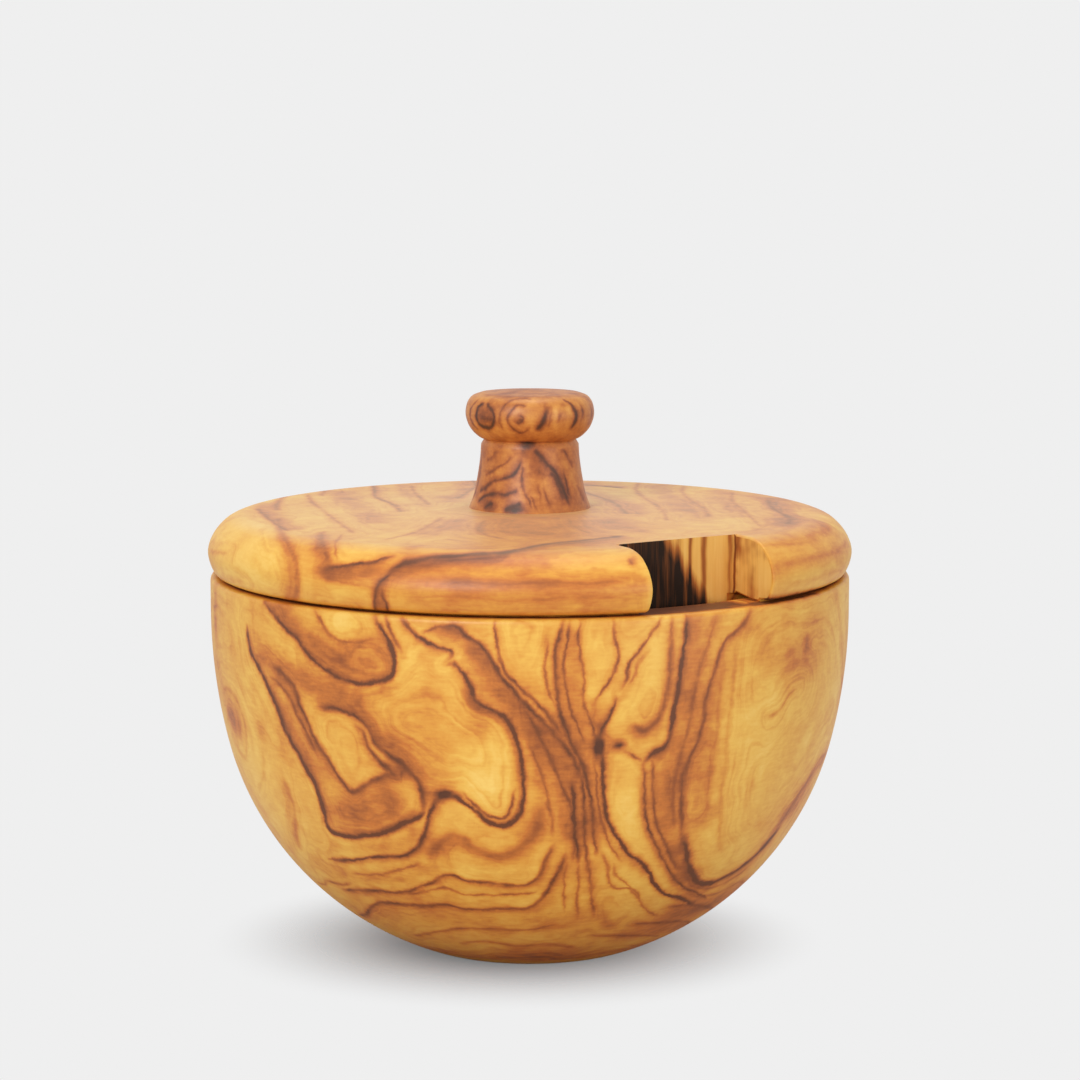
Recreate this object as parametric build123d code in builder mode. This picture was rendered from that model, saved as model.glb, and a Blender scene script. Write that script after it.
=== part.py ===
import os
from math import cos, radians, sin

from build123d import *

os.makedirs("parts", exist_ok=True)

# Bowl, in millimetres. The foot stands on z = 0, and every piece is turned about Z.
bowl_radius = 60.0
bowl_height = 70.7
rim_band = 6.5
side_round = 100.0
side_turn = 14.2
foot_radius = 20.5
rim_wall = 9.4
floor_thickness = 9.0
rim_outer_bevel = 1.0
rim_inner_bevel = 0.8
foot_bevel = 0.6

# Lid: a thick disc whose rounded edge overhangs the rim a little.
lid_overhang = 0.4
lid_thickness = 12.2
lid_edge_height = 4.8
lid_edge_band = 1.2
lid_crown_inset = 6.8
lid_crown_drop = 0.9
lid_underside_inset = 2.8

# The spigot is loose in the mouth, because wood swells. The seat is undercut behind
# its outer ring, so that the lid bears on the rim only there.
spigot_clearance = 1.4
spigot_depth = 7.0
spigot_bevel = 0.6
seat_width = 3.2
undercut_rise = 0.9

# Spoon notch, sawn into the lid's edge. Its azimuth is measured from the front.
notch_azimuth = 33.0
notch_width = 25.6
notch_back_distance = 48.0
saw_overrun = 1.0

# Knob: a tapered stem under a rounded head, turned from one blank with its tenon.
knob_base_radius = 11.4
knob_stem_top_radius = 9.2
knob_neck_radius = 8.6
knob_stem_height = 12.9
knob_groove_height = 0.9
knob_head_radius = 12.1
knob_head_height = 9.2
knob_widest_height = 5.2
knob_crown_radius = 9.3
knob_crown_drop = 0.75
tenon_radius = 5.0
tenon_length = 9.0
tenon_clearance = 0.1
glue_room = 1.0
knob_seat_margin = 0.6

# Sizes that follow from the ones above.
mouth_radius = bowl_radius - rim_wall
band_z = bowl_height - rim_band
hollow_centre_z = floor_thickness + mouth_radius
lid_radius = bowl_radius + lid_overhang
lid_top = bowl_height + lid_thickness
edge_z = bowl_height + lid_edge_height
crown_edge = (lid_radius - lid_crown_inset, lid_top - lid_crown_drop)
seat_outer_radius = lid_radius - lid_underside_inset
seat_inner_radius = seat_outer_radius - seat_width
spigot_radius = mouth_radius - spigot_clearance
spigot_bottom = bowl_height - spigot_depth
notch_reach = lid_radius + saw_overrun - notch_back_distance
knob_seat_radius = knob_base_radius + knob_seat_margin
neck_z = lid_top + knob_stem_height
widest_z = neck_z + knob_widest_height
knob_top = neck_z + knob_head_height
tenon_bottom = lid_top - tenon_length

# The bowl swells from a small flat foot to sides that stand upright at the rim. Below
# the upright band its side turns in by side_turn degrees on a large arc, and from there
# one arc runs down to the foot. The hollow is half a sphere under a short straight mouth.
with BuildPart() as bowl:
    with BuildSketch(Plane.XZ):
        with BuildLine():
            Line((bowl_radius, bowl_height), (bowl_radius, band_z))
            side = JernArc(
                start=(bowl_radius, band_z), tangent=(0, -1), radius=side_round, arc_size=-side_turn
            )
            TangentArc(side @ 1, (foot_radius, 0), tangent=side % 1)
            Polyline((foot_radius, 0), (0, 0), (0, floor_thickness))
            TangentArc((mouth_radius, hollow_centre_z), (0, floor_thickness), tangent=(0, -1))
            Polyline(
                (mouth_radius, hollow_centre_z),
                (mouth_radius, bowl_height),
                (bowl_radius, bowl_height),
            )
        make_face()
    revolve(axis=Axis.Z)
    circles = bowl.edges().filter_by(GeomType.CIRCLE)
    rim_circles = circles.group_by(Axis.Z)[-1].sort_by(SortBy.RADIUS)
    foot_circle = circles.group_by(Axis.Z)[0]
    chamfer(rim_circles[-1], length=rim_outer_bevel)
    chamfer(rim_circles[0], length=rim_inner_bevel)
    chamfer(foot_circle, length=foot_bevel)
bowl.part.label = "bowl"

# The lid has a low crown with a flat seat for the knob, a round shoulder, and an edge
# that draws in again below its upright band.
with BuildPart() as lid:
    with BuildSketch(Plane.XZ):
        with BuildLine():
            TangentArc((lid_radius, edge_z), crown_edge, tangent=(0, 1))
            Polyline(
                crown_edge,
                (knob_seat_radius, lid_top),
                (0, lid_top),
                (0, spigot_bottom),
                (spigot_radius, spigot_bottom),
                (spigot_radius, bowl_height + undercut_rise),
                (seat_inner_radius, bowl_height),
                (seat_outer_radius, bowl_height),
                (lid_radius, edge_z - lid_edge_band),
                (lid_radius, edge_z),
            )
        make_face()
    revolve(axis=Axis.Z)
    chamfer(lid.edges().filter_by(GeomType.CIRCLE).group_by(Axis.Z)[0], length=spigot_bevel)
    with Locations((0, 0, lid_top)):
        Hole(tenon_radius + tenon_clearance, depth=tenon_length + glue_room)
    notch_out = (sin(radians(notch_azimuth)), -cos(radians(notch_azimuth)), 0)
    with BuildSketch(Plane(origin=(0, 0, spigot_bottom), x_dir=notch_out, z_dir=(0, 0, 1))):
        with Locations((notch_back_distance, 0)):
            Rectangle(notch_reach, notch_width, align=(Align.MIN, Align.CENTER))
    extrude(amount=lid_top - spigot_bottom, mode=Mode.SUBTRACT)
lid.part.label = "lid"

# The knob's shoulder bears on the lid's flat seat, and its tenon goes down the hole.
with BuildPart() as knob:
    with BuildSketch(Plane.XZ):
        with BuildLine():
            Polyline(
                (knob_crown_radius, knob_top - knob_crown_drop),
                (0, knob_top),
                (0, tenon_bottom),
                (tenon_radius, tenon_bottom),
                (tenon_radius, lid_top),
                (knob_base_radius, lid_top),
                (knob_stem_top_radius, neck_z - knob_groove_height),
                (knob_neck_radius, neck_z),
            )
            TangentArc(
                (knob_head_radius, widest_z),
                (knob_crown_radius, knob_top - knob_crown_drop),
                tangent=(0, 1),
            )
            TangentArc((knob_head_radius, widest_z), (knob_neck_radius, neck_z), tangent=(0, -1))
        make_face()
    revolve(axis=Axis.Z)
knob.part.label = "knob"

export_step(bowl.part, "parts/bowl.step")
export_step(lid.part, "parts/lid.step")
export_step(knob.part, "parts/knob.step")
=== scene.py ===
from functools import partial
from math import acos, asin, atan2, cos, hypot, pi, radians, sin, sqrt

import bmesh
import bpy
import numpy as np
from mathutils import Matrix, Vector


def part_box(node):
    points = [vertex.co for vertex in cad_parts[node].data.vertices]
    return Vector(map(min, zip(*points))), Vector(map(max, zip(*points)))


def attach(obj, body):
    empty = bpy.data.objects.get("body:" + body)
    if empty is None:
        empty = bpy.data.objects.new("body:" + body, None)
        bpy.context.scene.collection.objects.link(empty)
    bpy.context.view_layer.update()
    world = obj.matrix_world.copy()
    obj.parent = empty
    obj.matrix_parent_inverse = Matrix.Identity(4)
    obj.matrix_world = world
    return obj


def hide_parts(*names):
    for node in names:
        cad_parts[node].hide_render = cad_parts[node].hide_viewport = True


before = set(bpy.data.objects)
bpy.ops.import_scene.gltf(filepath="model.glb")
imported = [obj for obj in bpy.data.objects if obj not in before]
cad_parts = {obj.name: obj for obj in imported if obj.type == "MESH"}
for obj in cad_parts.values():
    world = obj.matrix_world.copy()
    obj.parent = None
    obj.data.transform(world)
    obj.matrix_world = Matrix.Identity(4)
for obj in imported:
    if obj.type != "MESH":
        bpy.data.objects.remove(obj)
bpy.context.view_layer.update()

MM = 0.001

# Sizes in millimetres, in the frame of the solids. The outermost ones come from the frame,
# and the turned pieces stay inside them by a skin.
BOWL_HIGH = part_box("bowl")[1] / MM
LID_LOW, LID_HIGH = (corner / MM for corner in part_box("lid"))
KNOB_LOW, KNOB_HIGH = (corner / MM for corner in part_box("knob"))
SKIN = 0.02
# A length or a gap that counts as none
NEARLY = 0.01

BOWL_RADIUS = BOWL_HIGH.y - SKIN
RIM_Z = BOWL_HIGH.z
RIM_BAND = 6.5
SIDE_ROUND = 100.0
SIDE_TURN = radians(14.2)
FOOT_RADIUS = 20.5
FOOT_RING = 10.0
MOUTH_RADIUS = 50.6
FLOOR_THICKNESS = 9.0
HOLLOW_Z = FLOOR_THICKNESS + MOUTH_RADIUS
RIM_OUTER_ROUND = 0.9
RIM_INNER_ROUND = 1.2
FOOT_ROUND = 1.0

LID_RADIUS = LID_HIGH.y - SKIN
LID_TOP = LID_HIGH.z
TOP_LEVEL = LID_TOP - 0.4
SPIGOT_RADIUS = 49.2
SPIGOT_BOTTOM = LID_LOW.z
SPIGOT_ROUND = 1.0
SPIGOT_RINGS = (0, 16, 32)
SEAT_INNER, SEAT_OUTER = 54.4, 56.4
UNDERCUT_Z = RIM_Z + 0.9
KNOB_SEAT = 12.0
# The lid's edge from the seat up to the shoulder: radius, and height above the rim
LID_EDGE = [
    (SEAT_OUTER, 0), (56.6, 0.42), (58.6, 0.55), (59.35, 1.15), (59.95, 2.4), (60.3, 3.7),
    (LID_RADIUS, 4.8), (59.95, 6.4), (58.85, 8.3), (57.1, 10.0), (55.2, 10.85), (53.6, 11.2),
]
CROWN = (LID_EDGE[-1][0], RIM_Z + LID_EDGE[-1][1])

NOTCH_AZIMUTH = radians(33)
NOTCH_HALF = 12.8
NOTCH_BACK = 48.0
NOTCH_CORNER = hypot(NOTCH_BACK, NOTCH_HALF)
NOTCH_EASE = 0.45
NOTCH_SPREAD = radians(70)
NOTCH_RINGS = [NOTCH_BACK + step for step in (0, 0.05, 0.2, 0.45, 0.8, 1.2)]

KNOB_TOP = KNOB_HIGH.z
TENON, TENON_Z = 5.0, KNOB_LOW.z
TENON_HOLE, TENON_HOLE_Z = 5.1, LID_TOP - 10
# The knob's stem and head: radius, and height above the lid
STEM = [(11.4, 0), (10.5, 2.6), (9.85, 5.8), (9.35, 9.2), (9.15, 12.0)]
HEAD = [
    (8.6, 12.9), (9.6, 13.4), (10.7, 14.4), (11.5, 15.6), (12.0, 17.2), (12.0, 18.6),
    (11.6, 20.0), (10.75, 21.0), (9.3, 21.55),
]

# How finely the pieces are turned: columns round each, and steps between the rings
BOWL_COLUMNS, LID_COLUMNS, KNOB_COLUMNS = 440, 400, 180
SIDE_STEP, RIM_STEP, MOUTH_STEP, HOLLOW_STEP = 0.8, 1.2, 1.5, 1.8
EDGE_STEP, TOP_STEP = 0.55, 0.9
SHOULDER_STEP, STEM_STEP, HEAD_STEP = 2.0, 0.5, 0.4
SHARP_EDGE = radians(50)

# The figure is traced in millimetres round the bowl at TRACE_RADIUS, or in degrees round
# the knob. A vein reaches no further than FAR, and its line ends and tapers softly. The
# brown of overlapping bands and patches levels off at BROWNEST, apart from knots.
TRACE_RADIUS = 60.0
BACK = pi * TRACE_RADIUS
TRACE_STEP, KNOB_TRACE_STEP = 1.0, 0.5
KNOB_DEGREE = 0.19
FAR = 9.0
LINE_REACH, LINE_MARGIN, LINE_SOFT, LINE_TAPER = 1.9, 0.9, 0.7, 3.0
SHADE_BROWN, SHADE_TAPER = 0.62, 4.0
BAND_TAPER = 1.5
BROWNEST = 0.40
KNOT = 0.5
BLEND = 1.6
# The front's figure is carried round to the back stretched, and on the bowl it also sways:
# how far, and over what length.
BOWL_STRETCH, LID_STRETCH = 1.1, 1.15
SWAY_ROUND, SWAY_UP = (4, 13), (2.5, 15)
LOWEST, HIGHEST = 1, 71
# Where the traced figure gives way to plain rings: in the bowl's mouth, below the lid's
# groove and on the knob's crown
GROOVE_RUN = 1.2
BOWL_RINGS_IN, LID_RINGS_IN = 3.0, 2.0
KNOB_CROWN, KNOB_RINGS_IN, KNOB_RINGS = 0.9, 0.6, 0.6


def paint(red, green, blue):
    """A colour given as it looks on screen, 0 to 255, as the renderer's linear colour."""
    channels = (value / 255 for value in (red, green, blue))
    linear = [c / 12.92 if c <= 0.04045 else ((c + 0.055) / 1.055) ** 2.4 for c in channels]
    return (*linear, 1.0)


# The woods' colours, from the palest wood to the darkest vein
PALE_WOOD = [
    (0.00, paint(242, 203, 108)),
    (0.25, paint(232, 181, 78)),
    (0.45, paint(219, 151, 56)),
    (0.62, paint(198, 115, 42)),
    (0.80, paint(154, 82, 32)),
    (1.00, paint(82, 42, 18)),
]
DARK_WOOD = [
    (0.00, paint(224, 164, 82)),
    (0.25, paint(206, 138, 62)),
    (0.45, paint(186, 112, 48)),
    (0.62, paint(160, 88, 38)),
    (0.80, paint(120, 62, 28)),
    (1.00, paint(66, 36, 18)),
]
# The sawn walls' colours. The darkest are reached where the painted shadow lies.
SAWN_WOOD = [
    (0.00, paint(246, 204, 118)),
    (0.40, paint(228, 170, 84)),
    (0.65, paint(170, 98, 44)),
    (0.85, paint(92, 52, 26)),
    (1.00, paint(38, 24, 15)),
]
# The pale colour that the lid's top is mixed towards: a painted sheen
LID_SHEEN_COLOUR = paint(232, 204, 168)

# How the wood is drawn. Lengths are in millimetres, a vein's core and halo are in half
# widths, and the amounts of brown run from 0, the ramp's palest, to 1, its darkest.
WAVER = 0.625
CORE, CORE_BROWN = 0.74, 0.76
HALO, HALO_BROWN = 1.8, 0.42
VEIN_BROWN = 0.96
GROWTH_BROWN, CLOUD_BROWN, FLECK_BROWN = 0.40, 0.18, 0.10
GROWTH_SHIFT, GROWTH_BEND = 3.0, (0.05, 0.05, 0.08)
RINGS, RING_WIDTH, RING_BROWN, RING_SHADE = 11.0, 0.10, 0.62, 0.30
RIPPLE_GAP, RIPPLE_WIDTH, RIPPLE_BROWN = 2.7, 0.09, 0.20
# The painted sheen on the lid's top: the height over which it fades in, and how strong it is
SHEEN_DEPTH, SHEEN_AMOUNT = 2.2, 0.38
ROUGH, ROUGH_PORE, ROUGH_VEIN = 0.38, 0.14, 0.06
RELIEF, RELIEF_VEIN = 0.5, 0.6
RELIEF_STRENGTH, RELIEF_DEPTH = 0.10, 0.0003

# The notch's sawn walls: dark bands, each a place across, an amount of brown and a half
# width, and a painted shadow whose edge leans across the back wall, darkening the walls on its left
NOTCH_BANDS = [
    (2.8, 0.46, 0.5), (5.7, 0.34, 0.8), (11.4, 0.36, 0.6), (12.4, 0.52, 0.3), (0.4, 0.2, 1.1),
]
SAWN_BROWN, SAWN_STREAK, SAWN_ROUGH, SAWN_GLOSS = 0.32, 0.6, 0.8, 0.2
# The painted shadow on the notch's walls: the height and lean of its edge, its softness, waver, brown
# and streaks
NOTCH_SHADOW_Z, NOTCH_SHADOW_SLOPE, NOTCH_SHADOW_SOFT, NOTCH_SHADOW_WAVER = 79.1, 0.72, 3.6, 0.4
NOTCH_SHADOW_BROWN, NOTCH_SHADOW_STREAK = 0.62, 0.5

# The floor, in metres. Its shadow shows in full up to FLOOR_SOLID from the middle, and the
# floor has faded into the background at FLOOR_END. Out to there the camera sees a share of the
# floor as a dim grey glow, which is a painted shadow, and the rest lit, with its rendered shadow.
FLOOR_RADIUS, FLOOR_SIDES = 1.2, 96
FLOOR_SOLID, FLOOR_END = 0.013, 0.060
SHADOW_MIDDLE, SHADOW_SHAPE = (-0.0029, 0, 0), (1, 0.9, 1)
PAINTED_SHADOW_SHARE = 0.55
PAINTED_SHADOW_GREY = paint(122, 128, 132)
FLOOR_COLOUR = paint(246, 246, 248)
BACKDROP = paint(239, 239, 239)
ROOM_LIGHT = 0.6

# Lamps: name, place and aim in metres, width, power, and whether only the object is lit
LAMPS = [
    ("key", (-0.44, -0.88, 0.46), (0, 0, 0.06), 0.22, 5.3, True),
    ("top", (0.0, 0.05, 0.9), (0, 0, 0.0), 0.5, 2.5, False),
    ("fill", (0.80, -0.75, 0.05), (0, 0, 0.03), 0.7, 4.1, True),
]
# The object's pieces, which are all that the key and fill lamps light
LIT = bpy.data.collections.new("lit_by_the_lamps")
CAMERA_PLACE, CAMERA_TILT = (0.0019, -0.6147, 0.1575), radians(82.5)
LENS, SENSOR = 109.7, 36

# The bowl's figure as seen from the front. A vein is its darkness, its half width, the reach
# of the brown shade beside it (positive on its left hand) and points along it. A point is
# the distance round the bowl from the front, at a radius of 60, and the height.
BOWL_VEINS = [
    (0.8, 0.5, 1.4, [(-55, 71), (-51, 68.3), (-48, 66.5), (-45, 65), (-42, 62.3), (-39, 60.5),
     (-36, 59.3), (-33, 58.5), (-31, 58.3), (-28, 58.8), (-26, 59.2), (-24.5, 59.8), (-23.9, 61),
     (-24, 64), (-25.5, 67), (-28, 71)]),
    (0.45, 0.45, -1.6, [(-41, 71), (-38, 67.5), (-36, 66), (-34.5, 65.3), (-32, 65.5), (-29, 66),
     (-27, 67)]),
    (0.55, 0.5, -0.8, [(-25.8, 71), (-24.5, 68), (-22.8, 65.5), (-22.2, 63.5)]),
    (0.6, 0.6, -2.2, [(-53, 60), (-49, 58), (-46, 56), (-45, 53), (-43.5, 50.5), (-42, 47),
     (-40, 44.5), (-38.5, 42), (-36.5, 39.5), (-35, 38), (-33, 39), (-30.5, 40.5), (-28, 41.5),
     (-24.5, 43)]),
    (0.45, 0.5, 0, [(-54, 57.5), (-50, 56), (-47.5, 54), (-46, 51), (-44.5, 49), (-43, 46),
     (-41.5, 43.5)]),
    (0.7, 0.55, 2.2, [(-41, 53), (-37, 53.3), (-34, 53), (-31.5, 52), (-29.5, 50.5),
     (-28.5, 48), (-26, 46), (-23.5, 44.4), (-21, 42), (-20, 40), (-20, 37), (-20.5, 35)]),
    (0.6, 0.6, -1.0, [(-33, 51), (-31, 49.8), (-30, 47), (-28.4, 45), (-26, 43), (-24, 41)]),
    (0.95, 0.55, 1.0, [(-60.5, 66), (-59, 61), (-56.5, 58.5), (-54, 55.5), (-51.5, 51.5),
     (-49.5, 47), (-47, 43.5), (-45, 40), (-44, 38), (-43.5, 34), (-44, 31), (-43.5, 29.5),
     (-41, 29), (-38, 29), (-34, 29.8), (-31, 30.5), (-28, 31.5), (-25, 33), (-22.5, 34),
     (-20.5, 35), (-20, 36.8)]),
    (0.75, 0.5, -0.8, [(-50, 23), (-45, 23.5), (-41, 24), (-37, 24.8), (-33, 25.7), (-29, 26.2),
     (-26, 26.8), (-24, 27.8), (-22.5, 29), (-21, 31), (-20, 33), (-18.5, 36), (-17.5, 38),
     (-15.5, 39.3)]),
    (0.9, 0.5, 0.8, [(-16.5, 39.3), (-14, 39.2), (-12, 38), (-10.5, 37), (-8, 34.6),
     (-5.5, 33.8), (-3, 34.5), (-1.5, 36.5), (-1, 40), (-1.3, 45), (-2.2, 50), (-3.5, 53),
     (-6, 54.8), (-8.5, 55.8), (-9.8, 57), (-10, 59), (-11.5, 61.5), (-13, 63), (-14.8, 62.5)]),
    (0.6, 0.4, 0, [(-12.5, 40.3), (-11, 38.6), (-9, 36.4), (-7, 35.4), (-5, 35.2),
     (-3.6, 36.2), (-3, 38.5), (-2.5, 41.5)]),
    (0.75, 0.45, 0.6, [(-14.6, 62.7), (-13.2, 65), (-16, 65.7), (-18.5, 66.8), (-20.5, 68.3),
     (-23, 71)]),
    (0.65, 0.45, -1.6, [(-19.5, 67.5), (-16.5, 69), (-14, 69.4), (-12, 69), (-10.5, 67.5),
     (-8, 66), (-6, 63), (-5, 61), (-3, 59), (-1.5, 57), (0.5, 55), (3, 52.4), (5, 50),
     (7, 47.5), (8.5, 45), (9.5, 42)]),
    (0.6, 0.45, 0, [(-6, 71), (-5.5, 67), (-5, 64), (-4.3, 62), (-2.5, 60), (0, 57.5),
     (2, 55.5), (4, 53), (6, 50)]),
    (0.3, 0.9, -1.8, [(-21, 27), (-17, 30.5), (-15, 31.7), (-12.5, 31), (-10.5, 29),
     (-6, 28), (-3, 29), (0, 31), (1.5, 34), (2.2, 38)]),
    (0.6, 0.5, -1.2, [(-53, 16), (-45, 17), (-38, 18), (-32, 18.3), (-27, 19.5), (-23, 21),
     (-20.5, 22), (-18.5, 23.2), (-16.5, 23.4), (-13, 22.3), (-9, 22.2), (-5, 21.8), (0, 22),
     (2.4, 24.5), (3.6, 28), (5.4, 30.8)]),
    (0.45, 0.4, 0, [(-31, 18.2), (-25, 19), (-21, 20.3), (-18, 20.5), (-15, 19.3),
     (-10, 19.5), (0, 20), (2.5, 21)]),
    (0.6, 0.5, -1.4, [(-62, 9), (-55, 10), (-50, 11.5), (-45, 13.5), (-41, 14.8), (-36, 15.5),
     (-30, 15.7), (-24, 16.2), (-20, 16.8), (-16, 16), (-6, 16.5), (0, 16.8), (3.2, 19.5),
     (5, 22.5), (6.6, 26), (7.4, 29)]),
    (0.4, 0.5, 0, [(-44, 21), (-39, 21.3), (-34, 22), (-29, 23.3), (-25, 24.6), (-22, 26)]),
    (0.35, 0.5, -1.0, [(-40, 7), (-30, 9), (-20, 11), (-10, 11.5), (0, 11.5), (8, 13)]),
    (0.45, 0.5, 0, [(-68, 15), (-61, 15.8), (-58, 17), (-50, 17.6), (-45, 18.8)]),
    (0.25, 0.8, -1.5, [(-54, 40), (-53, 33), (-56, 28), (-60, 23)]),
    (0.18, 0.7, 0, [(-75, 42), (-71, 39.5), (-68, 40), (-66, 44)]),
    (0.18, 0.7, 0, [(-68, 33), (-62, 37), (-60, 40), (-59, 44)]),
    (0.22, 0.6, 0, [(-77, 50), (-73, 52), (-68, 51), (-65, 47), (-66, 42.5)]),
    # The sheaf of lines that runs down from the front of the rim
    (0.65, 0.45, 1.2, [(6, 71), (5, 67.5), (4.5, 65), (4.7, 61), (4.8, 58), (5.5, 54), (7, 50),
     (9, 46), (10.5, 42), (11.5, 38), (12, 35), (12.5, 32), (13, 30), (14, 27)]),
    (0.45, 0.35, 0, [(3.6, 68), (3, 65.5), (2.6, 62), (3.5, 58), (5, 55.2)]),
    (0.55, 0.35, 0, [(7.2, 71), (6.6, 67), (6, 63), (6.2, 60), (7, 56), (8.5, 52), (10, 48.5)]),
    (0.55, 0.35, 0, [(8.7, 71), (8.5, 67), (9, 64), (9.5, 60), (9.6, 56), (11, 52),
     (12.3, 48.5)]),
    (0.55, 0.45, 1.4, [(-1, 55.5), (0.5, 53), (2, 50), (4, 46), (5.5, 42), (7.5, 38), (8.5, 34),
     (9, 30), (8.6, 26)]),
    (0.4, 0.4, 0, [(-0.5, 50), (1.2, 46), (2.8, 42), (3.6, 38), (4.4, 34), (4.6, 31)]),
    (0.85, 0.5, 0, [(7.6, 43), (8.1, 40), (8.3, 36), (8.8, 32), (9.6, 29), (9.9, 25.5)]),
    (0.6, 0.4, 0, [(9.3, 44), (10, 40), (10.4, 36), (10.8, 32), (11.4, 28), (12.6, 23.5)]),
    (0.85, 0.5, 0.8, [(12.4, 48.4), (12.6, 51), (14, 53.4), (15, 55.5), (15.4, 57.6)]),
    (0.55, 0.4, 0, [(10.8, 55), (12, 57.2), (13.4, 59), (14.8, 61.5), (15.5, 64), (15, 67),
     (14.6, 71)]),
    (0.6, 0.4, 0, [(15.6, 57.5), (17, 60), (17.5, 62.5), (19, 64.5), (21, 67), (24, 71)]),
    (0.4, 0.35, 0, [(16.8, 58), (18.4, 60.5), (19.3, 63), (21.5, 65)]),
    (0.85, 0.5, 0, [(12.6, 48.5), (13.3, 45.5), (13.4, 42), (14, 38), (15, 34.5), (17, 31.5),
     (19, 29), (21, 27), (23.5, 25.6), (26, 23.5), (29, 20.4), (33, 18), (38, 16.5),
     (42, 15.3), (48, 13.2)]),
    (0.45, 0.35, 0, [(11.6, 46), (12.2, 42.5), (12.6, 39), (13.4, 35.5), (15, 31.4),
     (17, 28.4), (19.6, 25.6)]),
    (0.55, 0.4, 0, [(16.4, 48), (18, 46.7), (20, 45.6), (21.4, 44.6)]),
    (0.6, 0.4, -0.8, [(20.8, 46), (21.3, 43), (21.6, 40), (22.2, 36), (23.6, 32),
     (25.6, 29.4), (28, 26.5), (31, 23.5), (34, 21), (39, 18.4), (45, 16.4), (52, 14)]),
    (0.95, 0.6, 1.2, [(28.5, 71), (28, 66), (27.3, 62), (26.8, 58), (26.2, 54), (25.8, 50),
     (25, 47.8), (23.5, 46.8), (21.8, 45.8), (20.6, 44.2)]),
    (0.45, 0.6, 1.6, [(25.6, 71), (25.2, 65), (25, 60), (24, 55), (22.5, 51.8), (20, 50.6),
     (18.6, 51.8), (16.8, 50.4)]),
    (0.55, 0.45, 0, [(22, 46.5), (23, 43), (23.4, 39), (24.4, 35), (26, 31.6), (28.4, 28.6),
     (31, 25.5), (34.6, 22.4)]),
    (0.55, 0.5, 1.4, [(43, 71), (40, 67.6), (36, 65), (34.5, 61.5), (33.5, 58.5), (32.5, 55.5),
     (32.3, 52), (31.5, 48), (30.2, 45), (29.2, 42.5), (29.3, 39), (30, 35), (31, 31.5),
     (32.4, 28.8)]),
    (0.92, 0.75, -1.6, [(31.6, 31), (33, 28), (34.8, 25.4), (37, 22.8), (39.4, 20.8),
     (42, 19.3), (45, 18.5), (48, 18.3), (52, 19), (56, 20.2), (60, 22.2), (63, 25),
     (64.6, 27.4)]),
    (0.3, 0.5, 0, [(34.5, 70), (33, 66), (31, 61), (30, 56), (29.4, 51), (28.4, 47),
     (27.8, 43), (27.6, 39), (28.4, 34.5), (30, 31)]),
    (0.35, 0.55, 0, [(34, 25), (37, 21.4), (41, 18.7), (45, 17.6), (50, 17), (56, 17.8),
     (62, 19.8)]),
    (0.28, 0.8, -1.6, [(63, 26.5), (66, 31.6), (70, 35), (75, 38.5), (80, 38), (86, 39)]),
    (0.2, 0.55, 0, [(36, 62), (35.3, 56), (35.6, 50), (35.2, 44), (35.4, 38), (36.6, 33)]),
    (0.16, 0.6, 0, [(39, 66), (38.4, 58), (38, 50), (38.4, 43), (39, 36), (41.4, 29),
     (45, 24.5)]),
    (0.3, 0.45, 0, [(48, 50.3), (50, 50.8), (52, 52), (54, 54), (57, 54.6)]),
    (0.2, 1.0, 0, [(71, 71), (74, 65), (78, 58), (81, 53), (86, 49)]),
    (0.45, 0.4, 0, [(11.6, 29), (12.4, 25.5), (13.4, 21.5), (14.6, 18), (16.5, 14)]),
    (0.4, 0.4, 0, [(14, 29), (16, 26), (17.5, 22), (19.5, 20.5), (24, 19.8), (27, 17),
     (31, 14.4), (37, 12)]),
    (0.4, 0.35, 0, [(10, 27), (10.6, 22), (11, 18), (12.5, 13.5)]),
    (0.35, 0.35, 0, [(7.6, 27), (7.4, 23), (8, 18.6), (8.6, 15)]),
    (0.35, 0.35, 0, [(17, 26.6), (19, 23), (21.4, 21.6), (25.6, 18), (29, 16.6)]),
    (0.4, 0.5, -1.0, [(36, 14.6), (44, 14), (52, 12.6), (60, 11), (68, 9.5), (76, 8)]),
    (0.4, 0.5, -1.0, [(28, 11.5), (38, 10.6), (48, 9.6), (58, 8), (68, 5.6)]),
    (0.35, 0.5, 0, [(16, 9.6), (26, 8.6), (38, 7.4), (50, 5.6)]),
    (0.3, 0.5, 0, [(40, 17), (48, 15.4), (56, 15), (64, 15.8), (72, 14)]),
    (0.35, 0.7, 0, [(-24, 6.4), (-14, 8), (-4, 7), (6, 7.4), (16, 6)]),
]

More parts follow.
